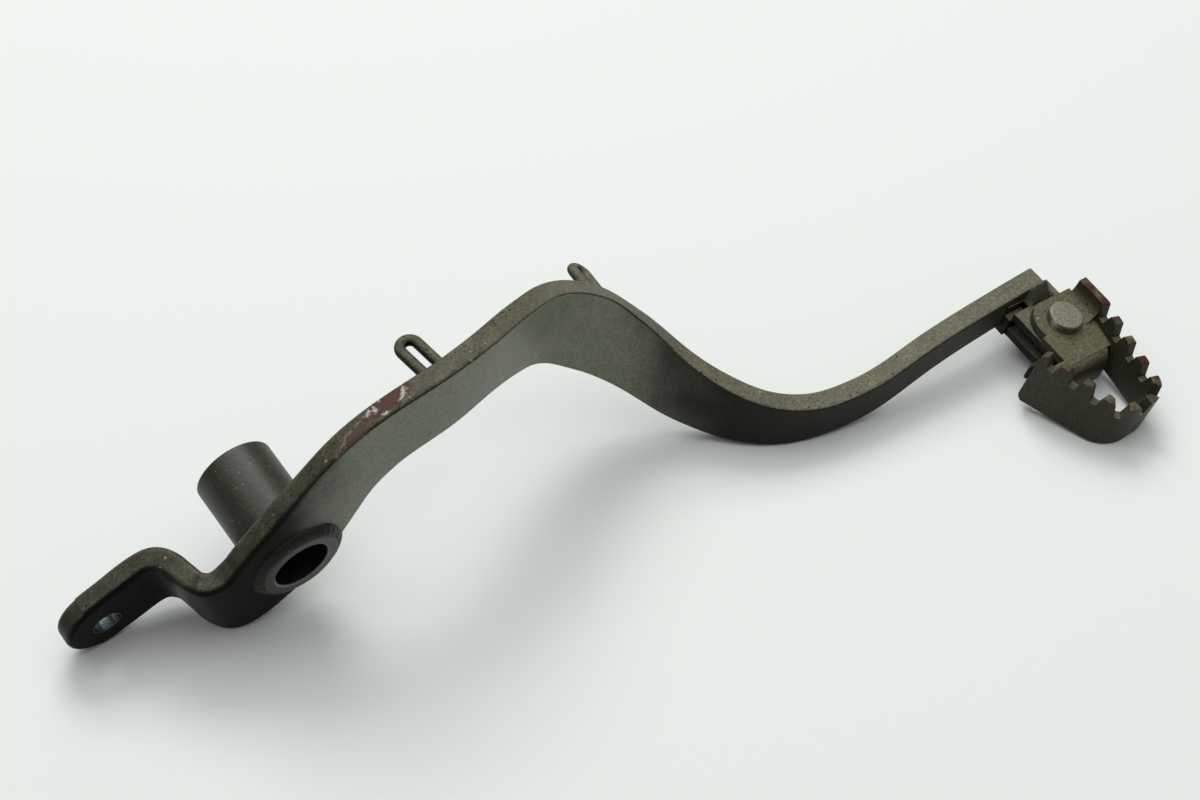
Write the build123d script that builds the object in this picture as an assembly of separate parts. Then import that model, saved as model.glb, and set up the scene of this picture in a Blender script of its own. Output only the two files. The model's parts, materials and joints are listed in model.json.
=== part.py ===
import os
from math import cos, radians, sin

from build123d import *

os.makedirs("parts", exist_ok=True)

# Pivot tube, mm
bore_dia = 17.0
tube_dia = 24.0
tube_length = 37.0
tube_proud = 2.1
tube_rim = 0.8
bore_rim = 0.5

# Arm plate, mm and degrees
plate = 6.8
plate_corner = 1.8
pivot_slope = 52.5
pivot_depth = 35.0
eye_margin = 0.9
run_steps = 3
seam_index = 2
lie_roll = 13.7
lie_pitch = -2.0

# Runs forward of the pivot: length, turn up, bend inward, twist, then depth and corner at the far end
front_runs = [
    (27.5, -5.5, 1.5, -2.5, 27.0, 1.8),
    (27.5, -36.0, -0.5, -2.0, 24.5, 1.4),
    (27.5, -26.5, 22.5, 4.0, 25.5, 0.8),
    (27.5, -14.0, -1.0, -0.5, 26.0, 0.6),
    (27.5, -15.0, -33.0, 5.5, 26.0, 0.6),
    (27.5, 0.5, -35.0, 12.0, 21.5, 0.6),
    (27.5, 21.5, 0.5, 14.5, 20.0, 0.8),
    (27.5, 13.5, 36.5, 7.0, 15.0, 0.9),
    (27.5, 5.5, 18.5, -2.0, 11.5, 0.8),
    (27.5, -5.0, -3.0, 1.5, 11.0, 0.7),
    (30.5, -1.0, -1.0, 4.0, 11.5, 0.7),
]

# Runs behind the pivot, walked backward: the jog and the tab
rear_runs = [
    (18.5, -33.0, -2.0, 0.0, 33.0, 1.8),
    (10.5, -10.5, -75.0, 0.0, 35.0, 1.8),
    (7.0, -0.5, 1.0, 0.0, 33.0, 1.8),
    (11.0, 6.5, 76.0, 0.0, 27.0, 1.8),
    (29.0, 10.0, 0.0, 0.0, 24.4, 1.8),
]

# Tab end and pin hole
pin_hole_dia = 8.4
pin_back = 13.0
pin_drop = 0.8
tab_end_radius = 12.3
tab_spare = 0.3

# Wire loops on the inner face
loop_wire = 3.3
loop_spacing = 5.4
loop_reach = 13.5
loop_drop = 2.8
rear_loop_index = 2
rear_loop_along = 11.0
front_loop_index = 4
front_loop_along = 25.0

# Welds round the tube
outer_weld_leg = 3.0
inner_weld_leg = 4.0
weld_bite = 0.6

# Hinge: place of the bar's end seen from the hinge, and the forward lean of the rivet
bar_end_x = 4.5
bar_end_y = 16.8
bar_end_z = -3.2
hinge_lean = 10.0

# Folding toe
toe_wall = 3.0
toe_plate = 2.8
toe_top = 7.0
toe_bottom = -12.6
toe_corner = 8.0
toe_bottom_rise = 0.18
toe_bottom_fall = -0.13
tread_start = (-21.6, -7.0)
tread_outer = (-14.0, -38.6)
tread_front = (3.4, -38.6)
tread_claw = (12.0, -4.0)
tread_end = (12.0, 6.8)
notch_first = 6.6
notch_pitch = 8.0
notch_count = 10
notch_depth = 4.8
notch_width = 4.4
notch_floor = 2.2
tooth_round = 1.0
hub_radius = 9.8
hub_inner = 9.0
hub_rear = -11.5
hub_shoulder = -2.0
web_outer = -18.5
web_bend = 4.0
fold_start = -4.0
fold_shoulder = -12.0
clear_front = 6.5
claw_flank = 6.0
claw_outer = -4.5
end_round = 3.2
free_start = 2.0

# Bracket, rivet and spring
bracket_gauge = 2.5
bracket_drop = 3.1
bracket_rear = -10.3
bracket_front = 10.5
stop_gap = 0.3
stop_chamfer = 1.9
swing_radius = 13.7
bracket_height = 10.6
low_flange_radius = 9.0
bead_rear = -2.5
bead_front = 9.5
bead_rise = 4.4
bead_run = 3.4
slot_width = 2.6
slot_depth = 3.6
rivet_dia = 8.0
rivet_play = 0.05
rivet_head_dia = 11.2
rivet_head = 3.0
rivet_head_gap = 0.1
rivet_tail_dia = 9.6
rivet_tail = 1.0
spring_wire = 1.65
spring_sides = 12
spring_pitch = 1.68
spring_turns = 2.25
spring_radius = 6.2
spring_gap = 0.05
spring_hook_x = -16.5
spring_hook = 2.0
spring_hook_drop = 3.5

# Worked-out values
pivot_offset = (pivot_depth - tube_dia) / 2 - eye_margin
outer_face = tube_proud - tube_length / 2
inner_face = outer_face + plate
slope_x = cos(radians(pivot_slope))
slope_z = sin(radians(pivot_slope))
web_inner = web_outer + toe_plate
stop_y = web_inner + stop_gap
flange_top = -bracket_drop
flange_low = flange_top - bracket_height
cavity_top = flange_top - bracket_gauge
cavity_low = flange_low + bracket_gauge
bar_face = bar_end_y - plate / 2
through = 3 * (toe_top - toe_bottom)
stand = (Align.CENTER, Align.CENTER, Align.MIN)


def bent_step(length, turn, bend, twist):
    # Half of the turning, the straight step, then the other half in the opposite order
    lead = Rot(-turn / 2, 0, 0) * Rot(0, bend / 2, 0) * Rot(0, 0, twist / 2)
    trail = Rot(0, 0, twist / 2) * Rot(0, bend / 2, 0) * Rot(-turn / 2, 0, 0)
    return lead * Pos(0, 0, length) * trail


def walk(place, depth, corner, runs, way):
    # Stations of a bent bar: each has local x inward, y up in the plate and z along the bar
    found = []
    for length, turn, bend, twist, far_depth, far_corner in runs:
        step = bent_step(way * length / run_steps, turn / run_steps, bend / run_steps, twist / run_steps)
        for k in range(run_steps):
            part = (k + 1) / run_steps
            place = place * step
            found.append((place, depth + (far_depth - depth) * part, corner + (far_corner - corner) * part))
        depth = far_depth
        corner = far_corner
    return found


pivot_plane = Plane((0, outer_face + plate / 2, 0), x_dir=(0, 1, 0), z_dir=(slope_x, 0, slope_z))
pivot_place = pivot_plane.location * Pos(0, pivot_offset, 0)
front_stations = walk(pivot_place, pivot_depth, plate_corner, front_runs, 1)
rear_stations = walk(pivot_place, pivot_depth, plate_corner, rear_runs, -1)
bar_end = front_stations[-1][0]
pin_place = rear_stations[-1][0] * Pos(0, -pin_drop, pin_back) * Rot(0, 90, 0)
lie = Rot(0, lie_pitch, 0) * Rot(lie_roll, 0, 0)
hinge = Pos(bar_end.position) * Rot(0, hinge_lean, 0) * Pos(-bar_end_x, -bar_end_y, -bar_end_z)


def along_y(radius, length, middle):
    return Pos(0, middle, 0) * Rot(90, 0, 0) * Cylinder(radius, length)


def bent_plate():
    # The whole plate from the tab to the end of the bar
    stations = rear_stations[::-1] + [(pivot_place, pivot_depth, plate_corner)] + front_stations
    sections = [Plane(at) * RectangleRounded(plate, depth, corner) for at, depth, corner in stations]
    arm = loft(sections)
    disc = Cylinder(tab_end_radius, plate + tab_spare)
    disc = fillet(disc.edges().filter_by(GeomType.CIRCLE), plate_corner)
    behind = Pos(tab_end_radius, 0, 0) * Box(tab_end_radius * 2, tab_end_radius * 4, plate * 4)
    arm -= pin_place * (behind - disc)
    arm -= pin_place * Cylinder(pin_hole_dia / 2, plate * 3)
    arm -= along_y(tube_dia / 2, tube_length * 2, 0)
    corner = Box(plate, plate * 4, plate)
    corner -= Pos(-plate / 2, 0, -plate / 2) * Rot(90, 0, 0) * Cylinder(plate, plate * 4)
    arm -= bar_end * Pos(plate / 2, 0, -plate / 2) * corner
    return arm


def pivot_tube():
    tube = along_y(tube_dia / 2, tube_length, 0) - along_y(bore_dia / 2, tube_length * 2, 0)
    rims = tube.edges().filter_by(GeomType.CIRCLE)
    tube = fillet([e for e in rims if e.radius > (tube_dia + bore_dia) / 4], tube_rim)
    rims = tube.edges().filter_by(GeomType.CIRCLE)
    return chamfer([e for e in rims if abs(e.radius - bore_dia / 2) < 0.01], bore_rim)


def weld_ring(face_y, leg, height, way, arm, tube):
    # A bead round the tube: it bites into plate and tube, and both are then taken off it
    r = tube_dia / 2
    points = [
        (r - weld_bite, face_y - way * weld_bite),
        (r + leg, face_y - way * weld_bite),
        (r + leg, face_y),
        (r, face_y + way * height),
        (r - weld_bite, face_y + way * height),
    ]
    foot = Line(points[0], points[1]) + Line(points[1], points[2])
    crown = ThreePointArc(points[2], (r + leg * 0.62, face_y + way * height * 0.62), points[3])
    back = Line(points[3], points[4]) + Line(points[4], points[0])
    bead = revolve(make_face(foot + crown + back), Axis.Y)
    return (bead - arm) - tube


def wire_loop(place, depth, arm):
    # A wire bent to a U: both ends stand on the inner face
    base = plate / 2 - weld_bite
    crest = plate / 2 + loop_reach - loop_wire / 2 - loop_spacing / 2
    half = loop_spacing / 2
    path = Line((base, -half), (crest, -half))
    path += ThreePointArc((crest, -half), (crest + half, 0), (crest, half))
    path += Line((crest, half), (base, half))
    path = Plane.XZ * path
    start = Plane((base, 0, -half), z_dir=(1, 0, 0))
    wire = sweep(start * Circle(loop_wire / 2), path)
    return place * Pos(0, depth / 2 - loop_drop, 0) * wire - arm


def station_on(run, along):
    # Place and depth at a distance along one of the front runs
    length, turn, bend, twist, far_depth, far_corner = front_runs[run]
    part = along / length
    place, depth, corner = front_stations[run * run_steps - 1]
    step = bent_step(along, turn * part, bend * part, twist * part)
    return place * step, depth + (far_depth - depth) * part


def tread_path():
    corners = [tread_start, tread_outer, tread_front, tread_claw, tread_end]
    return FilletPolyline(*corners, radius=toe_corner)


def tread_notch():
    # Gap between two teeth, drawn along the wall (x) and up (y), with rounded shoulders
    low = toe_top - notch_depth
    half = notch_width / 2
    foot = notch_floor / 2
    lid = toe_top + 1.0
    shoulder = half + tooth_round
    side = Line((foot, low), (half, toe_top - tooth_round))
    side += SagittaArc((half, toe_top - tooth_round), (shoulder, toe_top), tooth_round * 0.35)
    side += Line((shoulder, toe_top), (shoulder, lid))
    outline = side + mirror(side, Plane.YZ)
    outline += Line((-foot, low), (foot, low)) + Line((-shoulder, lid), (shoulder, lid))
    return extrude(make_face(outline), toe_wall, both=True)


def free_end():
    # What is cut off the free end of the tread to round its two corners, drawn along the wall and up
    along = (Vector(*tread_outer) - Vector(*tread_start)).normalized()
    wall = Plane(Vector(*tread_start), x_dir=along, z_dir=along.cross(Vector(0, 0, 1)))
    low = toe_bottom + toe_bottom_rise * tread_start[0] + toe_bottom_fall * tread_start[1]
    high = toe_top - low
    keep = Pos(free_start + high, low + high / 2) * Rectangle(high * 2, high)
    keep = fillet(keep.vertices().sort_by(Axis.X)[:2], end_round)
    gone = Pos(free_start, low + high / 2) * Rectangle(end_round * 2, high * 2) - keep
    return wall * extrude(gone, toe_wall, both=True)


def rear_wall_x(y):
    # Middle of the tread's rear wall at a distance y from the hinge
    slant = (tread_outer[0] - tread_start[0]) / (tread_outer[1] - tread_start[1])
    return tread_start[0] + slant * (y - tread_start[1])


def tread_wall(deep):
    # A strip bent along the tread, with the notches cut from its upper edge
    path = tread_path()
    wall = Pos(0, 0, deep) * extrude(trace(path, toe_wall), toe_top - deep)
    notch = tread_notch()
    for k in range(notch_count):
        at = (notch_first + k * notch_pitch) / path.length
        way = path.tangent_at(at)
        across = Plane(path.position_at(at), x_dir=way, z_dir=way.cross(Vector(0, 0, 1)))
        wall -= across * notch
    return wall


def hub_plate():
    # The flat plate under the rivet's head
    front = tread_claw[0]
    wide = hub_inner - web_outer
    band = Pos(0, (hub_inner + web_outer) / 2) * Rectangle(front * 4, wide)
    flat = Circle(hub_radius) + Pos(front / 2, 0) * Rectangle(front, wide * 2)
    flat += Pos(hub_rear / 2, (web_outer + hub_shoulder) / 2) * Rectangle(-hub_rear, hub_shoulder - web_outer)
    plate_solid = Pos(0, 0, -toe_plate) * extrude(flat & band, toe_plate)
    return plate_solid - Pos(0, web_outer, 0) * Box(front * 4, 2 * web_bend, 2 * web_bend)


def hub_fold(deep):
    # The plate's outer part, bent down to a web that meets both walls of the tread
    front = tread_claw[0]
    middle = web_outer + toe_plate / 2
    level = -toe_plate / 2
    bend = FilletPolyline((fold_start, level), (middle, level), (middle, deep), radius=web_bend)
    strip = extrude(Plane.YZ * trace(bend, toe_plate), front * 2, both=True)
    side = Polyline(
        (hub_rear, fold_start),
        (front, fold_start),
        (tread_front[0], web_outer - 1),
        (rear_wall_x(web_outer - 1), web_outer - 1),
        (rear_wall_x(fold_shoulder) + toe_wall, fold_shoulder),
        (hub_rear, fold_shoulder),
        close=True,
    )
    return strip & Pos(0, 0, deep) * extrude(make_face(side), -deep)


def claw_rise():
    # Hollow flank that leads from the plate up to the tread's inner end
    foot = tread_claw[0] - toe_wall / 2
    start = foot - claw_flank
    back = foot + 1
    flank = Polyline((start, 0), (start, -1), (back, -1), (back, claw_flank), (foot, claw_flank))
    flank += RadiusArc((foot, claw_flank), (start, 0), claw_flank)
    return Pos(0, tread_end[1], 0) * extrude(Plane.XZ * make_face(flank), tread_end[1] - claw_outer)


def folding_toe():
    deep = 2 * toe_bottom
    toe = tread_wall(deep) + hub_plate() + hub_fold(deep) + claw_rise()
    under = Plane((0, 0, toe_bottom), z_dir=(toe_bottom_rise, toe_bottom_fall, -1))
    toe -= under * Box(2 * through, 2 * through, through, align=stand)
    toe -= free_end()
    swing_room = Box(through, through, through, align=(Align.MIN, Align.MIN, Align.MAX))
    toe -= Pos(clear_front, web_inner, -toe_plate) * swing_room
    toe -= Cylinder(rivet_dia / 2 + rivet_play, through)
    return hinge * toe


def tip_bracket(arm):
    # Pressed channel: two flanges joined by a web along the bar
    length = bracket_front - bracket_rear
    middle = (bracket_front + bracket_rear) / 2
    wide = bar_face - stop_y
    flange = Pos(middle, stop_y + wide / 2) * Rectangle(length, wide)
    reach = Circle(swing_radius) + Pos(bracket_front, 0) * Rectangle(2 * bracket_front, wide * 2)
    reach += Pos(middle, bar_face) * Rectangle(length, 2 * bar_face)
    upper = Pos(0, 0, cavity_top) * extrude(flange & reach, bracket_gauge)
    stop_edge = upper.edges().filter_by(Axis.X).group_by(Axis.Y)[0].sort_by(Axis.Z)[-1]
    upper = chamfer(stop_edge, stop_chamfer)
    low = Circle(low_flange_radius) + Pos(0, bar_face / 2) * Rectangle(2 * low_flange_radius, bar_face)
    lower = Pos(0, 0, flange_low) * extrude(low, bracket_gauge)
    web = Pos(middle, bar_face, flange_low) * Box(length, 2 * bracket_gauge, bracket_height, align=stand)
    channel = upper + lower + web
    channel -= Cylinder(rivet_dia / 2, through)
    slot = Box(bead_rear - bracket_rear, slot_width, slot_depth, align=(Align.MAX, Align.MAX, Align.MAX))
    channel -= Pos(bead_rear, bar_face, flange_top) * slot
    return hinge * channel - arm


def bracket_weld(arm, bracket):
    # Hollow fillet from the upper flange up the bar, on the front part of their joint
    edge = bar_face - bead_run
    crest = flange_top + bead_rise
    back = bar_face + weld_bite
    sole = flange_top - weld_bite
    outline = Polyline((edge, flange_top), (edge, sole), (back, sole), (back, crest), (bar_face, crest))
    hollow = (bar_face - bead_run * 0.45, flange_top + bead_rise * 0.45)
    outline += ThreePointArc((bar_face, crest), hollow, (edge, flange_top))
    bead = Pos(bead_rear, 0, 0) * extrude(Plane.YZ * make_face(outline), bead_front - bead_rear)
    return (hinge * bead - arm) - bracket


def hinge_rivet():
    head = Pos(0, 0, rivet_head_gap) * Cylinder(rivet_head_dia / 2, rivet_head, align=stand)
    head = fillet(head.edges().sort_by(Axis.Z)[-1], rivet_head * 0.3)
    bottom = flange_low - rivet_tail
    shaft = Pos(0, 0, bottom) * Cylinder(rivet_dia / 2, rivet_head / 2 - bottom, align=stand)
    tail = Pos(0, 0, bottom) * Cylinder(rivet_tail_dia / 2, rivet_tail, align=stand)
    tail = fillet(tail.edges().sort_by(Axis.Z)[0], rivet_tail * 0.7)
    return hinge * (head + shaft + tail)


def torsion_spring():
    # Turns round the rivet, one leg to the bracket's web and one hooked past the free end of the tread
    low = cavity_low + spring_wire / 2 + spring_gap
    rest_y = bar_face - bracket_gauge - spring_gap
    coil = Pos(0, 0, low) * Helix(spring_pitch, spring_pitch * spring_turns, spring_radius, lefthand=True)
    top = low + spring_pitch * spring_turns
    ease = spring_hook * (1 - cos(radians(45)))
    bend = Vector(spring_hook_x + spring_hook, -spring_radius, top)
    middle = Vector(spring_hook_x + ease, -spring_radius, top - ease)
    drop = Vector(spring_hook_x, -spring_radius, top - spring_hook)
    path = Line((spring_radius, rest_y, low), coil @ 0) + coil
    path += Line(coil @ 1, bend) + ThreePointArc(bend, middle, drop)
    path += Line(drop, drop - Vector(0, 0, spring_hook_drop))
    start = Plane((spring_radius, rest_y, low), z_dir=(0, -1, 0))
    return hinge * sweep(start * RegularPolygon(spring_wire / 2, spring_sides), path)


if __name__ == "__main__":
    arm = bent_plate()
    seam = Plane(front_stations[seam_index][0])
    tube = pivot_tube()
    bracket = tip_bracket(arm)
    pieces = {
        "rear_lever": split(arm, seam, keep=Keep.BOTTOM),
        "pedal_arm": split(arm, seam, keep=Keep.TOP),
        "pivot_tube": tube,
        "outer_weld": weld_ring(outer_face, outer_weld_leg, tube_proud * 0.85, -1, arm, tube),
        "inner_weld": weld_ring(inner_face, inner_weld_leg, inner_weld_leg, 1, arm, tube),
        "rear_wire_loop": wire_loop(*station_on(rear_loop_index, rear_loop_along), arm),
        "front_wire_loop": wire_loop(*station_on(front_loop_index, front_loop_along), arm),
        "tip_bracket": bracket,
        "bracket_weld": bracket_weld(arm, bracket),
        "hinge_rivet": hinge_rivet(),
        "torsion_spring": torsion_spring(),
        "folding_toe": folding_toe(),
    }
    for name, piece in pieces.items():
        solid = lie * piece
        box = solid.bounding_box()
        print(name, len(solid.solids()), round(solid.volume, 1), box.min, box.max)
        export_step(solid, "parts/" + name + ".step")
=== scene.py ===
import bpy
import json
import math
import numpy as np
from mathutils import Matrix, Vector


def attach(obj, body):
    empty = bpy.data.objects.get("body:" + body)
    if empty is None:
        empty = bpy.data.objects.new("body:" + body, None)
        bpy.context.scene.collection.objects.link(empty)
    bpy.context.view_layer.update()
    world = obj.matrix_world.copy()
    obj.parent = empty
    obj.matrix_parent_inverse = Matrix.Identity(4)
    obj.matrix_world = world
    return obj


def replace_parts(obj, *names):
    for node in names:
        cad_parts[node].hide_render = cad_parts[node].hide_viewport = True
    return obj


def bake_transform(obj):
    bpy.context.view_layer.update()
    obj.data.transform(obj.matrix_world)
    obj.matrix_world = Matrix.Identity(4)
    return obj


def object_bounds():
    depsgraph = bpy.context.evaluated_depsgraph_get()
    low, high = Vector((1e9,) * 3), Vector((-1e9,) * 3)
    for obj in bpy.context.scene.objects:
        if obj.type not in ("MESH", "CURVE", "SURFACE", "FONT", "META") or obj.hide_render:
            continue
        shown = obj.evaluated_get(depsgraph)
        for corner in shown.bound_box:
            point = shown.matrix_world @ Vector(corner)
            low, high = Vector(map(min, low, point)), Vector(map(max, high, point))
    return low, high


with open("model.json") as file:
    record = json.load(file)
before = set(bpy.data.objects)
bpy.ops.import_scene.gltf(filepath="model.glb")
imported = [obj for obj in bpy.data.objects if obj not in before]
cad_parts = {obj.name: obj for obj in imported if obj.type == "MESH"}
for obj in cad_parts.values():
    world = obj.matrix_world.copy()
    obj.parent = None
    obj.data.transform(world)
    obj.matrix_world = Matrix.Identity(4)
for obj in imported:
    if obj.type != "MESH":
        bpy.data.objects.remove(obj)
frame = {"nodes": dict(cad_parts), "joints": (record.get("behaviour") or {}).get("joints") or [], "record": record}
cadLow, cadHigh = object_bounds()
nodes = frame["nodes"]
mounts = {m["name"]: m for m in frame["record"]["mounts"]}
toeJoint = frame["joints"][0]
print("frame loaded:", len(nodes), "nodes")

# settings that many nodes share
multiply = {"operation": "MULTIPLY"}
multiplyAdd = {"operation": "MULTIPLY_ADD"}
subtract = {"operation": "SUBTRACT"}
dotProduct = {"operation": "DOT_PRODUCT"}
smoothStep = {"interpolation_type": "SMOOTHSTEP"}
colourMix = {"data_type": "RGBA"}
shadeMix = {"data_type": "RGBA", "blend_type": "MULTIPLY"}


def linear(hexColour, alpha=1.0):  # sRGB hex to the linear colour that sockets take
    parts = np.array([int(hexColour[i:i + 2], 16) for i in (1, 3, 5)]) / 255
    flat = np.where(parts <= 0.04045, parts / 12.92, ((parts + 0.055) / 1.055) ** 2.4)
    return (*flat.tolist(), alpha)


def perMetre(sizeMm):  # pattern scale whose cells are this wide on the object
    return 1000 / sizeMm


def addNode(tree, kind, settings, inputs):  # one node, its settings, and values or links for its inputs
    node = tree.nodes.new(kind)
    for key, value in settings.items():
        setattr(node, key, value)
    for key, value in inputs.items():
        if isinstance(value, bpy.types.NodeSocket):
            tree.links.new(value, node.inputs[key])
        else:
            node.inputs[key].default_value = value
    return node


def newMaterial(name):
    made = bpy.data.materials.new(name)
    made.use_nodes = True
    made.node_tree.nodes.clear()
    return made, made.node_tree


def coats(tree, colour, layers):  # lays each colour over the ones before it where its mask is 1
    for mask, top in layers:
        colour = addNode(tree, "ShaderNodeMix", colourMix, {0: mask, 6: colour, 7: top}).outputs[2]
    return colour


def zone(tree, value, spansMm, *masks):
    # soft steps along a value in metres, each 0 at its first place and 1 at its second, times the other masks
    steps = [addNode(tree, "ShaderNodeMapRange", smoothStep, {0: value, 1: fromMm / 1000, 2: toMm / 1000}).outputs[0]
             for fromMm, toMm in spansMm]
    share, *others = [*steps, *masks]
    for mask in others:
        share = addNode(tree, "ShaderNodeMath", multiply, {0: share, 1: mask}).outputs[0]
    return share


def awayFrom(tree, spot, point, axis=None):
    # distance in metres from a point, or from the line through it along axis
    offset = addNode(tree, "ShaderNodeVectorMath", subtract, {0: spot, 1: point}).outputs[0]
    if axis is not None:
        way = Vector(axis).normalized()
        offset = addNode(tree, "ShaderNodeVectorMath", {"operation": "CROSS_PRODUCT"}, {0: offset, 1: way}).outputs[0]
    return addNode(tree, "ShaderNodeVectorMath", {"operation": "LENGTH"}, {0: offset}).outputs["Value"]


def boreMask(tree, spot, mount, edgeMm):  # 1 inside a bore's radius plus edgeMm, 0 outside
    away = awayFrom(tree, spot, mount["pos_m"], mount["axis"])
    edge = (mount["dims"]["r_mm"] + edgeMm) / 1000
    return addNode(tree, "ShaderNodeMath", {"operation": "LESS_THAN"}, {0: away, 1: edge}).outputs[0]


# Old satin enamel on steel plate, brushed on thick and gone dull: a grey olive skin with a fine
# grain, brown road film where it faces up, dark pits, and pale grit stuck in it. Each noise is
# its size in mm, detail and roughness. Real grain is finer: at 0.8 mm it still shows in the render.
paintBase = {
    "deep": "#13140f", "body": "#1c1d16", "film": "#3b3a2f", "filmPale": "#74715d",
    "noise": {"tone": (38, 3.0, 0.5), "film": (7, 6.0, 0.7), "grain": (0.8, 2.0, 0.6)},
    "toneRange": (0.35, 0.65), "grainRange": (0.3, 0.7), "grainShade": (0.62, 1.38),
    "upward": (0.4, 0.82), "filmSpanMm": (-70, 175), "filmShare": (-0.42, 0.34),
    "pit": "#131210", "pitDull": "#131210", "pitMm": 2.6, "pitEdge": (0.18, 0.08),
    "pitSide": 0.62, "pitTop": 0.62,  # share of the cells left out, on sides and on tops
    "grit": "#a09a83", "gritDull": "#6b6653", "gritMm": 3.0, "gritEdge": (0.17, 0.1),
    "gritSide": 0.985, "gritTop": 0.62,
    "roughness": 0.42, "ior": 1.5, "shine": 0.14, "bumpMm": 0.06, "bumpStrength": 0.9,
}


def paintLayers(tree, spec):
    # tone, film on upward faces that pales toward the toe, grain, pits and grit
    where = addNode(tree, "ShaderNodeTexCoord", {}, {})
    spot = where.outputs["Object"]
    alongX = addNode(tree, "ShaderNodeSeparateXYZ", {}, {0: spot}).outputs[0]
    facing = addNode(tree, "ShaderNodeSeparateXYZ", {}, {0: where.outputs["Normal"]}).outputs
    noise = {}
    for pattern, (sizeMm, detail, rough) in spec["noise"].items():
        noise[pattern] = addNode(tree, "ShaderNodeTexNoise", {}, {
            "Vector": spot, "Scale": perMetre(sizeMm), "Detail": detail, "Roughness": rough}).outputs[0]
    low, high = spec["toneRange"]
    tone = addNode(tree, "ShaderNodeMapRange", {}, {0: noise["tone"], 1: low, 2: high}).outputs[0]
    low, high = spec["upward"]
    upward = addNode(tree, "ShaderNodeMapRange", {}, {0: facing[2], 1: low, 2: high}).outputs[0]
    (rear, front), (least, most) = spec["filmSpanMm"], spec["filmShare"]
    paler = addNode(tree, "ShaderNodeMapRange", {}, {0: alongX, 1: rear / 1000, 2: front / 1000, 3: least, 4: most})
    filmShare = addNode(tree, "ShaderNodeMath", {"operation": "ADD", "use_clamp": True}, {
        0: noise["film"], 1: paler.outputs[0]})
    film = coats(tree, linear(spec["film"]), [(filmShare.outputs[0], linear(spec["filmPale"]))])
    colour = coats(tree, linear(spec["deep"]), [(tone, linear(spec["body"])), (upward, film)])
    (low, high), (dark, light) = spec["grainRange"], spec["grainShade"]
    grain = addNode(tree, "ShaderNodeMapRange", {}, {0: noise["grain"], 1: low, 2: high, 3: dark, 4: light}).outputs[0]
    colour = addNode(tree, "ShaderNodeMix", shadeMix, {0: 1.0, 6: colour, 7: grain}).outputs[2]
    for channel, speck in enumerate(("pit", "grit")):  # round cells, of which a random part is kept
        cells = addNode(tree, "ShaderNodeTexVoronoi", {}, {"Vector": spot, "Scale": perMetre(spec[speck + "Mm"])})
        rim, core = spec[speck + "Edge"]
        inside = addNode(tree, "ShaderNodeMapRange", {}, {0: cells.outputs["Distance"], 1: rim, 2: core})
        chance = addNode(tree, "ShaderNodeSeparateColor", {}, {0: cells.outputs["Color"]}).outputs
        limit = addNode(tree, "ShaderNodeMapRange", {}, {0: upward, 3: spec[speck + "Side"], 4: spec[speck + "Top"]})
        kept = addNode(tree, "ShaderNodeMath", {"operation": "GREATER_THAN"}, {0: chance[channel], 1: limit.outputs[0]})
        mask = addNode(tree, "ShaderNodeMath", multiply, {0: inside.outputs[0], 1: kept.outputs[0]}).outputs[0]
        tint = coats(tree, linear(spec[speck + "Dull"]), [(chance[2], linear(spec[speck]))])
        colour = coats(tree, colour, [(mask, tint)])
    return {"colour": colour, "noise": noise, "grain": grain, "spot": spot, "alongX": alongX,
            "facingY": facing[1], "facingZ": facing[2]}


def paintShader(tree, spec, paint, colour, changes):  # changes replace the plain values of the shader's sockets
    bump = addNode(tree, "ShaderNodeBump", {}, {
        "Strength": spec["bumpStrength"], "Distance": spec["bumpMm"] / 1000, "Height": paint["noise"]["grain"]})
    shader = addNode(tree, "ShaderNodeBsdfPrincipled", {}, {
        "Base Color": colour, "IOR": spec["ior"], "Normal": bump.outputs[0],
        "Roughness": spec["roughness"], "Specular IOR Level": spec["shine"], **changes})
    addNode(tree, "ShaderNodeOutputMaterial", {}, {"Surface": shader.outputs[0]})


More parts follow.
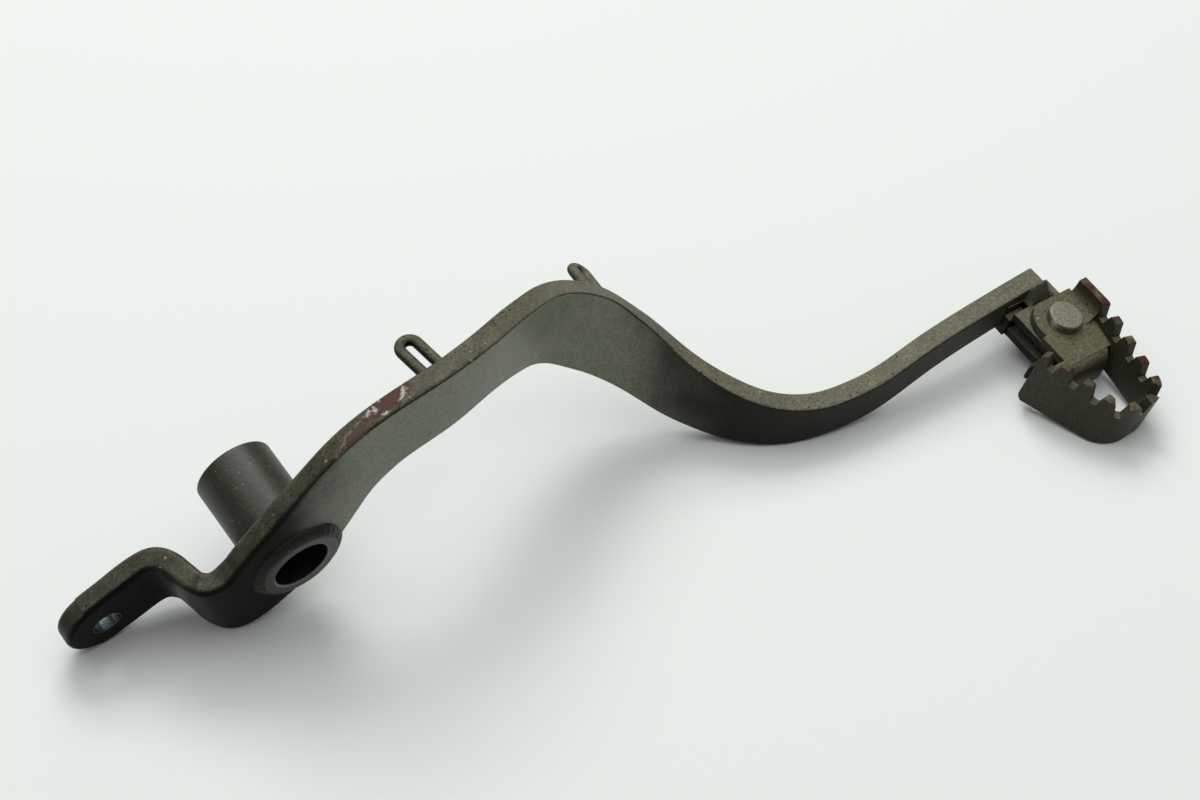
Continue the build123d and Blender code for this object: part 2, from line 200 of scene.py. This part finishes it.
# The arm: its outer side from the pivot to the hump is painted pale and given more shine, a painted sheen for the
# table's reflection on it; the tab is painted black for grease and painted shade; the face by the pivot is painted
# darker and duller as painted shade; the bar's outer side is painted paler as painted light; and a scrape on the upper
# edge goes down to red primer with a duller tail.
armPaint = {
    **paintBase,
    "noise": {**paintBase["noise"], "patchy": (16, 4.0, 0.5), "ragged": (3.5, 5.0, 0.75), "streak": (2.4, 3.0, 0.5)},
    "outward": (-0.35, -0.75), "upright": (0.34, 0.24), "upper": (0.35, 0.5),  # facing, from none to all of a mask
    # painted sheen: pale colour and more shine on the outer face from the pivot to the hump, for the table's reflection
    # on it
    "rubbed": "#6c705f", "sheenShine": 0.45, "sheenRiseMm": (4, 34), "sheenFallMm": (150, 122), "sheenWanderMm": 20,
    "sheenMottleRange": (0.35, 0.65), "sheenMottleShade": (0.82, 1.18), "mottleShare": 0.7,
    # painted light: the bar's outer side is painted paler
    "barSideLight": "#3d3e31", "barMm": (165, 235), "barShare": 0.85,
    # painted shade: near black on the tab's outer face, where there is also grease, and on the face by the pivot, whose
    # shine is dulled too
    "greaseAndShade": "#0e0e0d", "pivotShadeMm": (8, -8), "pivotShadeShare": 0.55, "pivotShadeDull": 0.25, "tabMm": (-25, -31),
    "polish": "#878d92", "polishRoughness": 0.22, "polishEdgeMm": 0.12,
    "scrapeAlong": (0.82, 0.06, 0.56), "scrapeTear": 2.4, "scrapeEdge": (2.05, 1.85),
    "flakeRim": (1.5, 1.75), "flakeRange": (0.45, 0.54),
    "primer": "#563b32", "primerFlake": "#c4bcb5",
    "primerPlace": (0.0312, -0.0212, 0.0457), "primerHalfMm": (11.0, 4.6),
    "tail": "#54493c", "tailFlake": "#7d7364",
    "tailPlace": (0.0190, -0.0232, 0.0405), "tailHalfMm": (9.5, 2.4),
    "fleck": "#a5a08d", "fleckTearMm": 3.0, "fleckEdgeMm": 0.5, "flecks": [  # place in metres, radius in mm
        (0.0971, -0.0081, 0.0345, 0.6), (-0.0342, -0.0015, 0.0040, 0.5), (-0.0299, -0.0064, 0.0050, 0.3),
        (-0.0318, -0.0005, 0.0054, 0.35), (-0.0262, -0.0105, 0.0042, 0.45), (-0.0385, 0.0046, 0.0015, 0.3)],
}


def armMaterial(spec):
    made, tree = newMaterial("satin_enamel_scraped")
    paint = paintLayers(tree, spec)
    spot, alongX, ragged = paint["spot"], paint["alongX"], paint["noise"]["ragged"]
    ranges = {}  # parts of a facing or a noise, stretched from 0 to 1
    for name, value in (("outward", paint["facingY"]), ("upright", paint["facingZ"]), ("upper", paint["facingZ"]),
                        ("flakeRange", paint["noise"]["streak"])):
        low, high = spec[name]
        ranges[name] = addNode(tree, "ShaderNodeMapRange", {}, {0: value, 1: low, 2: high}).outputs[0]
    outward, upright, upper, flaked = ranges.values()
    # zones along the pedal: painted sheen on the outer face, painted light on the bar's side, painted shade near the
    # pivot, grease and painted shade on the tab
    wander = addNode(tree, "ShaderNodeMath", multiplyAdd, {
        0: paint["noise"]["patchy"], 1: spec["sheenWanderMm"] / 1000, 2: alongX}).outputs[0]
    paintedSheen = zone(tree, wander, [spec["sheenRiseMm"], spec["sheenFallMm"]], outward, upright)
    (low, high), (dark, light) = spec["sheenMottleRange"], spec["sheenMottleShade"]
    sheenMottle = addNode(tree, "ShaderNodeMapRange", {}, {0: ragged, 1: low, 2: high, 3: dark, 4: light})
    mottled = addNode(tree, "ShaderNodeMath", multiply, {0: paint["grain"], 1: sheenMottle.outputs[0]})
    paleSheenColour = addNode(tree, "ShaderNodeMix", shadeMix, {
        0: spec["mottleShare"], 6: linear(spec["rubbed"]), 7: mottled.outputs[0]})
    # painted shade: the face by the pivot is darkened and its shine dulled
    pivotShade = zone(tree, alongX, [spec["pivotShadeMm"]], outward, spec["pivotShadeShare"])
    colour = coats(tree, paint["colour"], [
        (paintedSheen, paleSheenColour.outputs[2]),
        (zone(tree, alongX, [spec["barMm"]], outward, upright, spec["barShare"]), linear(spec["barSideLight"])),
        (pivotShade, linear(spec["greaseAndShade"])),
        (zone(tree, alongX, [spec["tabMm"]], outward), linear(spec["greaseAndShade"])),
    ])
    (outer, inner), (rimIn, rimOut) = spec["scrapeEdge"], spec["flakeRim"]
    for patch in ("tail", "primer"):  # oval: along squared plus across squared, torn by noise, flaked at its rim
        middle, half = spec[patch + "Place"], spec[patch + "HalfMm"]
        offset = addNode(tree, "ShaderNodeVectorMath", subtract, {0: spot, 1: middle})
        reachWay = Vector(spec["scrapeAlong"]) * 1000 / half[0]
        reach = addNode(tree, "ShaderNodeVectorMath", dotProduct, {0: offset.outputs[0], 1: reachWay}).outputs["Value"]
        across = awayFrom(tree, spot, middle, spec["scrapeAlong"])
        breadth = addNode(tree, "ShaderNodeMath", multiply, {0: across, 1: 1000 / half[1]}).outputs[0]
        square = addNode(tree, "ShaderNodeMath", multiply, {0: reach, 1: reach}).outputs[0]
        ring = addNode(tree, "ShaderNodeMath", multiplyAdd, {0: breadth, 1: breadth, 2: square}).outputs[0]
        torn = addNode(tree, "ShaderNodeMath", multiplyAdd, {0: ragged, 1: spec["scrapeTear"], 2: ring}).outputs[0]
        inside = addNode(tree, "ShaderNodeMapRange", {}, {0: torn, 1: outer, 2: inner}).outputs[0]
        bare = addNode(tree, "ShaderNodeMath", multiply, {0: inside, 1: upper}).outputs[0]
        rim = addNode(tree, "ShaderNodeMapRange", smoothStep, {0: torn, 1: rimIn, 2: rimOut}).outputs[0]
        bareRim = addNode(tree, "ShaderNodeMath", multiply, {0: rim, 1: bare}).outputs[0]
        flakes = addNode(tree, "ShaderNodeMath", multiply, {0: bareRim, 1: flaked}).outputs[0]
        colour = coats(tree, colour, [(bare, linear(spec[patch])), (flakes, linear(spec[patch + "Flake"]))])
    tear = spec["fleckTearMm"]
    for *middle, size in spec["flecks"]:  # small chips, their rims torn by the same noise
        off = addNode(tree, "ShaderNodeMath", multiplyAdd, {0: ragged, 1: tear / 1000, 2: awayFrom(tree, spot, middle)})
        rimHighlightMm = size + tear / 2
        chip = zone(tree, off.outputs[0], [(rimHighlightMm, rimHighlightMm - spec["fleckEdgeMm"])])
        colour = coats(tree, colour, [(chip, linear(spec["fleck"]))])
    hole = boreMask(tree, spot, mounts["rod_pin_hole"], spec["polishEdgeMm"])
    colour = coats(tree, colour, [(hole, linear(spec["polish"]))])
    smooth = addNode(tree, "ShaderNodeMapRange", {}, {0: hole, 3: spec["roughness"], 4: spec["polishRoughness"]})
    shine = addNode(tree, "ShaderNodeMapRange", {}, {0: paintedSheen, 3: spec["shine"], 4: spec["sheenShine"]})
    dull = addNode(tree, "ShaderNodeMapRange", {}, {0: pivotShade, 2: spec["pivotShadeShare"], 3: 1.0, 4: spec["pivotShadeDull"]})
    gloss = addNode(tree, "ShaderNodeMath", multiply, {0: shine.outputs[0], 1: dull.outputs[0]})
    paintShader(tree, spec, paint, colour, {
        "Roughness": smooth.outputs[0], "Metallic": hole, "Specular IOR Level": gloss.outputs[0]})
    return made


# The tube: glossier under a darker film, with dense brown grit, a dark outer end, a pale ring at the bore's edge that
# is rubbed paint and a painted highlight, and a bore painted near black as painted shade
tubePaint = {
    **paintBase,
    "deep": "#1b1c15", "body": "#26271d", "film": "#2c2d22", "filmPale": "#403f2f", "shine": 0.5,
    "grit": "#8f8262", "gritDull": "#574d38", "gritMm": 2.2, "gritSide": 0.8, "gritTop": 0.35,
    # rubbed paint and painted highlight: the pale ring at the bore's edge
    "end": "#1b1b17", "endFacing": (-0.8, -0.95), "rim": "#6d6c62", "rimHighlightMm": 0.6,
    # painted shade: the bore painted near black
    "boreShade": "#0c0b09", "boreShadeEdgeMm": 0.15,
}


def tubeMaterial(spec):
    made, tree = newMaterial("satin_enamel_shaded_bore")
    paint = paintLayers(tree, spec)
    low, high = spec["endFacing"]
    ended = addNode(tree, "ShaderNodeMapRange", {}, {0: paint["facingY"], 1: low, 2: high}).outputs[0]
    colour = coats(tree, paint["colour"], [
        (ended, linear(spec["end"])),
        (boreMask(tree, paint["spot"], mounts["pivot_bore"], spec["rimHighlightMm"]), linear(spec["rim"])),
        (boreMask(tree, paint["spot"], mounts["pivot_bore"], spec["boreShadeEdgeMm"]), linear(spec["boreShade"])),
    ])
    paintShader(tree, spec, paint, colour, {})
    return made


# The toe: boots have rubbed its teeth to bare steel, which has gone rust brown in patches
toePaint = {
    **paintBase,
    "noise": {**paintBase["noise"], "uneven": (4.0, 3.0, 0.5), "fleck": (1.6, 3.0, 0.5)},
    "deep": "#343529", "body": "#424334", "film": "#4a4937", "filmPale": "#6a6751",
    "rust": "#37261f", "rustLight": "#533a2c", "rustRange": (0.36, 0.56), "rustLeast": 0.3,
    "rustSpanMm": (5.0, 7.2), "rustWanderMm": 5.0,  # span above the hinge's level
}


def toeMaterial(spec):
    made, tree = newMaterial("satin_enamel_rusted_teeth")
    paint = paintLayers(tree, spec)
    uneven, wander = paint["noise"]["uneven"], spec["rustWanderMm"] / 1000
    low, high = (span / 1000 + wander / 2 for span in spec["rustSpanMm"])
    lift = addNode(tree, "ShaderNodeVectorMath", subtract, {0: paint["spot"], 1: toeJoint["pos_m"]})
    level = addNode(tree, "ShaderNodeVectorMath", dotProduct, {0: lift.outputs[0], 1: -Vector(toeJoint["axis"])})
    height = addNode(tree, "ShaderNodeMath", multiplyAdd, {0: uneven, 1: wander, 2: level.outputs["Value"]})
    rubbed = addNode(tree, "ShaderNodeMapRange", {}, {0: height.outputs[0], 1: low, 2: high})
    low, high = spec["rustRange"]
    partly = addNode(tree, "ShaderNodeMapRange", {}, {0: uneven, 1: low, 2: high, 3: spec["rustLeast"], 4: 1.0})
    mask = addNode(tree, "ShaderNodeMath", multiply, {0: rubbed.outputs[0], 1: partly.outputs[0]}).outputs[0]
    rust = coats(tree, linear(spec["rust"]), [(paint["noise"]["fleck"], linear(spec["rustLight"]))])
    paintShader(tree, spec, paint, coats(tree, paint["colour"], [(mask, rust)]), {})
    return made


# Upset steel rivet: a pale grey green film over bare steel, with a pale rim that is rubbed steel and a painted
# highlight
rivetSteel = {
    **paintBase,
    "noise": {**paintBase["noise"], "patchy": (5, 3.0, 0.5)},
    "deep": "#4b4b41", "body": "#58584d", "film": "#6b6a5a", "filmPale": "#86846f", "roughness": 0.4, "shine": 0.5,
    "rim": "#b3b09e", "rimHighlightSpanMm": (5.0, 5.5), "rimHighlightRange": (0.48, 0.6),
}


def rivetMaterial(spec):
    made, tree = newMaterial("rivet_steel_rubbed_highlit_rim")
    paint = paintLayers(tree, spec)
    away = awayFrom(tree, paint["spot"], toeJoint["pos_m"], toeJoint["axis"])
    low, high = spec["rimHighlightRange"]
    kept = addNode(tree, "ShaderNodeMapRange", {}, {0: paint["noise"]["patchy"], 1: low, 2: high}).outputs[0]
    # rubbed steel and painted highlight: the pale rim of the head
    rubbed = zone(tree, away, [spec["rimHighlightSpanMm"]], kept)
    paintShader(tree, spec, paint, coats(tree, paint["colour"], [(rubbed, linear(spec["rim"]))]), {})
    return made


# Spring wire: drawn steel that has oxidised to a dull brown black
springWire = {**paintBase, "deep": "#1d1a16", "body": "#28231d", "film": "#332d26", "filmPale": "#3c352c"}

# Weld metal under the same paint, with a coarser skin and less film
weldPaint = {
    **paintBase,
    "deep": "#141410", "body": "#1e1e18", "film": "#35332a", "filmPale": "#625f4d", "bumpMm": 0.1,
}

# The weld at the bracket: the weld paint made lighter, to the olive of the top faces, as painted light on its side that
# lies in the bar's shade
bracketLitPaint = {
    **paintBase,
    "deep": "#4a493b", "body": "#585646", "film": "#4f4d3e", "filmPale": "#6f6c59", "bumpMm": 0.1,
}


def plainMaterial(name, spec):  # the enamel alone, with no special places
    made, tree = newMaterial(name)
    paint = paintLayers(tree, spec)
    paintShader(tree, spec, paint, paint["colour"], {})
    return made


armFinish = armMaterial(armPaint)
painted = plainMaterial("satin_enamel", paintBase)
weldFinish = plainMaterial("painted_weld", weldPaint)
finishes = {
    "rear_lever": armFinish,
    "pedal_arm": armFinish,
    "pivot_tube": tubeMaterial(tubePaint),
    "outer_weld": weldFinish,
    "inner_weld": weldFinish,
    "bracket_weld": plainMaterial("lit_weld_paint", bracketLitPaint),
    "rear_wire_loop": painted,
    "front_wire_loop": painted,
    "tip_bracket": painted,
    "hinge_rivet": rivetMaterial(rivetSteel),
    "torsion_spring": plainMaterial("oxidised_spring_wire", springWire),
    "folding_toe": toeMaterial(toePaint),
}
for name, finish in finishes.items():
    mesh = nodes[name].data
    mesh.materials.clear()
    mesh.materials.append(finish)
print("materials set on", len(finishes), "nodes")


def gridPiece(name, points, closed, finish, capped=False):
    # a surface from a grid of points: closed joins the last row to the first,
    # and capped closes the first and last columns
    rows, columns = points.shape[:2]
    steps = np.arange(rows if closed else rows - 1)
    first = (steps[:, None] * columns + np.arange(columns - 1)).ravel()
    second = ((steps[:, None] + 1) % rows * columns + np.arange(columns - 1)).ravel()
    faces = np.c_[first, first + 1, second + 1, second].tolist()
    if capped:
        start = np.arange(rows) * columns
        faces += [start.tolist(), (start + columns - 1)[::-1].tolist()]
    mesh = bpy.data.meshes.new(name)
    mesh.from_pydata(points.reshape(-1, 3).tolist(), [], faces)
    mesh.polygons.foreach_set("use_smooth", [True] * len(mesh.polygons))
    mesh.materials.append(finish)
    piece = bpy.data.objects.new(name, mesh)
    bpy.context.scene.collection.objects.link(piece)
    return piece


# Weld beads round the tube: foot on the plate, crown against the tube, laid in overlapping ripples.
# Sizes are in mm. A lump is its angle, width and size, and a wave its size, count round the tube and shift.
outerBead = {
    "radius": 12.0, "face": 16.4, "side": 1, "leg": 2.5, "height": 1.5, "sunk": 0.6,
    "ripple": 0.1, "ripples": 23, "rippleLean": 2.2, "rippleMean": 0.55,
    "rippleWaves": [(0.3, 5, 0.7), (0.25, 11, 2.0)], "wanderWaves": [(1.9, 2, 0.0), (1.3, 7, 0.0)],
    "swellWaves": [(0.06, 3, 1.0), (0.05, 7, 2.4)], "lumpShare": 0.35,
    "around": 320, "across": 15, "overlap": (-0.12, 1.06),
    "lumps": [(0.15, 0.32, 0.8), (0.75, 0.2, 0.6), (1.3, 0.16, 0.35), (-0.6, 0.25, 0.4), (3.6, 0.4, 0.25)],
}
innerBead = {
    **outerBead, "face": 9.6, "side": -1, "leg": 3.4, "height": 3.2, "ripple": 0.14, "ripples": 21,
    "lumps": [(2.2, 0.35, 0.7), (3.3, 0.3, 0.5), (5.2, 0.4, 0.4), (0.4, 0.3, 0.4)],
}


def waves(angle, terms):  # sum of size * sin(count * angle + shift)
    return sum(size * np.sin(count * angle + shift) for size, count, shift in terms)


def ringBead(name, spec, mount, toward, finish):
    # at angle a and place t across the bead, radius = tube + leg * (1 - t) and
    # height = face + crown * sin(t * 90 degrees), both swollen by lumps, and the height rippled along a
    axis = np.array(mount["axis"]) / np.linalg.norm(mount["axis"])
    up = np.array(toward) - np.dot(toward, axis) * axis
    up = up / np.linalg.norm(up)
    aside = np.cross(axis, up)
    a = np.linspace(0, 2 * np.pi, spec["around"], endpoint=False)[:, None]
    t = np.linspace(*spec["overlap"], spec["across"])[None, :]
    swell = waves(a, spec["swellWaves"])
    for centre, width, size in spec["lumps"]:
        near = (a - centre + np.pi) % (2 * np.pi) - np.pi
        swell = swell + size * spec["lumpShare"] * np.exp(-(near / width) ** 2)
    inside = np.clip(t, 0, 1)
    uneven = spec["rippleMean"] + waves(a, spec["rippleWaves"])
    phase = spec["ripples"] * a + waves(a, spec["wanderWaves"]) + spec["rippleLean"] * inside
    wave = uneven * np.sin(phase) * np.sin(np.pi * inside)
    radius = spec["radius"] + spec["leg"] * (1 + swell) * (1 - t)
    crown = spec["height"] * (1 + swell) * np.sin(inside * np.pi / 2) + spec["ripple"] * wave
    crown = crown - spec["sunk"] * (t < 0)  # the outermost row is sunk in the plate
    height = spec["face"] + spec["side"] * crown
    ring = radius[..., None] * (np.cos(a)[..., None] * up + np.sin(a)[..., None] * aside)
    points = (ring + height[..., None] * axis) / 1000 + np.array(mount["pos_m"])
    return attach(gridPiece(name, points[:, ::-spec["side"]], True, finish), "arm")  # faces outwards


hingeForward = (0.9901, 0.0411, -0.1342)  # along the bar's end, square to the rivet


def fromHinge(places, joint):  # millimetres along the bar, inward and up from the hinge, to metres in the frame
    up = -np.array(joint["axis"]) / np.linalg.norm(joint["axis"])
    forward = np.array(hingeForward)
    return places @ np.array([forward, np.cross(up, forward), up]) / 1000 + np.array(joint["pos_m"])


# Weld between the bar and the bracket: a fillet along the bar that runs out as a mound past the bar's end.
# Sizes are in mm from the hinge: start, bar's end and finish along the bar, foot, bar and back across it.
bracketBead = {
    "start": -3.4, "startRun": 2.6, "barEnd": 4.2, "finish": 10.2,
    "foot": 10.1, "bar": 13.6, "back": 16.0, "backRun": 1.8,
    "low": -3.3, "rise": 5.75, "climbPower": 0.85, "backPower": 0.5, "along": 80, "across": 34,
    "ripple": 0.15, "waves": [(1.0, 2.1, 0.9, 0.0), (0.6, 3.7, -1.3, 1.0)],  # size, per mm along and across, shift
}


def runBead(name, spec, joint, finish):
    # height = low + (rise + slow ripples) * (share along the run) * (share across it),
    # and each share climbs from 0 to 1 and falls again
    x = np.linspace(spec["start"], spec["finish"], spec["along"])[:, None]
    y = np.linspace(spec["back"], spec["foot"], spec["across"])[None, :]  # back to front, so that faces point up
    begin = np.clip((x - spec["start"]) / spec["startRun"], 0, 1)
    end = np.clip((spec["finish"] - x) / (spec["finish"] - spec["barEnd"]), 0, 1)
    along = np.sin(begin * np.pi / 2) * (0.5 - 0.5 * np.cos(end * np.pi))
    climb = np.clip((y - spec["foot"]) / (spec["bar"] - spec["foot"]), 0, 1) ** spec["climbPower"]
    across = climb * np.clip((spec["back"] - y) / spec["backRun"], 0, 1) ** spec["backPower"]
    ripple = spec["ripple"] * sum(size * np.sin(byX * x + byY * y + shift) for size, byX, byY, shift in spec["waves"])
    z = spec["low"] + (spec["rise"] + ripple) * along * across
    points = fromHinge(np.stack(np.broadcast_arrays(x, y, z), -1), joint)
    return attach(gridPiece(name, points, False, finish), "arm")


# Torsion spring: the same wire as the solid, with its hook behind the tread. Sizes are in mm from the hinge.
springForm = {
    "wire": 1.65, "radius": 6.2, "pitch": 1.68, "turns": 2.25, "low": -10.325, "leg": 10.85,
    "hookX": -16.5, "hook": 2.0, "hookDrop": 3.5, "fixedX": 6.0, "movingX": -8.0,
    "steps": (16, 240, 40, 12, 10), "sides": 16,
}


def wireSpring(name, spec, joint, finish):
    # centre line: a straight leg, a helix whose angle falls as its height climbs, a straight leg and a
    # quarter-round hook; a circle of the wire's size is carried along it, turned to face away from the rivet
    legs, coils, reaches, hooks, drops = (np.linspace(0, 1, count) for count in spec["steps"])
    radius, climb, hook = spec["radius"], spec["pitch"] * spec["turns"], spec["hook"]
    top = spec["low"] + climb
    angle = -2 * np.pi * spec["turns"] * coils
    bend = hooks * np.pi / 2
    parts = [  # along the bar, inward, up, and the angle
        (radius, spec["leg"] * (1 - legs), spec["low"], 0),
        (radius * np.cos(angle), radius * np.sin(angle), spec["low"] + climb * coils, angle),
        ((spec["hookX"] + hook) * reaches, -radius, top, angle[-1]),
        (spec["hookX"] + hook * (1 - np.sin(bend)), -radius, top - hook * (1 - np.cos(bend)), angle[-1]),
        (spec["hookX"], -radius, top - hook - spec["hookDrop"] * drops, angle[-1]),
    ]
    runs = [np.stack(np.broadcast_arrays(*part), 1) for part in parts]
    path = np.concatenate([runs[0]] + [run[1:] for run in runs[1:]])
    line, outAngle = path[:, :3], path[:, 3]
    along = np.gradient(line, axis=0)
    along = along / np.linalg.norm(along, axis=1)[:, None]
    out = np.stack([np.cos(outAngle), np.sin(outAngle), 0 * outAngle], 1)
    turn = np.linspace(0, 2 * np.pi, spec["sides"], endpoint=False)[:, None, None]
    ring = np.cos(turn) * out - np.sin(turn) * np.cross(along, out)
    points = fromHinge(line + spec["wire"] / 2 * ring, joint)
    piece = gridPiece(name, points, True, finish, True)
    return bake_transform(piece)


upSlope = mounts["rear_loop_eye"]["pos_m"]
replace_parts(ringBead("outer_bead", outerBead, mounts["pivot_bore"], upSlope, weldFinish), "outer_weld")
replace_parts(ringBead("inner_bead", innerBead, mounts["pivot_bore"], upSlope, weldFinish), "inner_weld")
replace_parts(runBead("bracket_bead", bracketBead, toeJoint, finishes["bracket_weld"]), "bracket_weld")
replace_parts(wireSpring("coil_spring", springForm, toeJoint, finishes["torsion_spring"]), "torsion_spring")
print("weld beads and spring made")

# Floor, lamps and camera. The floor is painted board, matte and pale, so that only the shadow shows on it.
studio = {
    "floor": "#eff3ef", "floorRoughness": 0.7, "floorHalf": 3.0,
    "world": "#f4f8f7", "worldLevel": 0.2,
    "lamps": [
        {"name": "window", "place": (0.584, 0.96, 1.4), "aim": (0.08, -0.02, 0.0), "size": 0.9, "power": 13.0},
        {"name": "ceiling", "place": (0.05, 0.0, 3.0), "aim": (0.05, 0.0, 0.0), "size": 4.0, "power": 66.0},
    ],
    "cameraPlace": (-0.163683, -0.390462, 0.464275),
    "cameraHeading": 35.643, "cameraDip": 45.507, "cameraRoll": -1.192, "lens": 66.0, "sensor": 36.0, "near": 0.01,
}


def makeFloor(spec, level):
    # a level square at the height of the object's lowest point: corners at plus and minus floorHalf
    corners = np.array([(-1, -1), (1, -1), (1, 1), (-1, 1)]) * spec["floorHalf"]
    mesh = bpy.data.meshes.new("floor")
    mesh.from_pydata(np.c_[corners, np.full(4, level)].tolist(), [], [(0, 1, 2, 3)])
    made, tree = newMaterial("matte_pale_board")
    shader = addNode(tree, "ShaderNodeBsdfPrincipled", {}, {
        "Base Color": linear(spec["floor"]), "Roughness": spec["floorRoughness"]})
    addNode(tree, "ShaderNodeOutputMaterial", {}, {"Surface": shader.outputs[0]})
    mesh.materials.append(made)
    floor = bpy.data.objects.new("floor", mesh)
    bpy.context.scene.collection.objects.link(floor)


def makeLight(spec):
    world = bpy.data.worlds.new("soft_room")
    bpy.context.scene.world = world
    world.use_nodes = True
    tree = world.node_tree
    tree.nodes.clear()
    sky = addNode(tree, "ShaderNodeBackground", {}, {"Color": linear(spec["world"]), "Strength": spec["worldLevel"]})
    addNode(tree, "ShaderNodeOutputWorld", {}, {"Surface": sky.outputs[0]})
    for one in spec["lamps"]:
        lamp = bpy.data.lights.new(one["name"], "AREA")
        lamp.size = one["size"]
        lamp.energy = one["power"]
        holder = bpy.data.objects.new(one["name"], lamp)
        place = Vector(one["place"])
        aim = (Vector(one["aim"]) - place).to_track_quat("-Z", "Y")
        holder.matrix_world = Matrix.Translation(place) @ aim.to_matrix().to_4x4()
        bpy.context.scene.collection.objects.link(holder)


def makeCamera(spec):
    lens = bpy.data.cameras.new("camera")
    lens.lens = spec["lens"]
    lens.sensor_width = spec["sensor"]
    lens.clip_start = spec["near"]
    camera = bpy.data.objects.new("camera", lens)
    turn = Matrix.Rotation(math.radians(-spec["cameraHeading"]), 4, "Z")
    dip = Matrix.Rotation(math.radians(90 - spec["cameraDip"]), 4, "X")
    roll = Matrix.Rotation(math.radians(spec["cameraRoll"]), 4, "Z")
    camera.matrix_world = Matrix.Translation(Vector(spec["cameraPlace"])) @ turn @ dip @ roll
    bpy.context.scene.collection.objects.link(camera)
    bpy.context.scene.camera = camera


makeFloor(studio, cadLow.z)
makeLight(studio)
makeCamera(studio)
bpy.context.scene.view_settings.view_transform = "Standard"
print("floor, light and camera set")
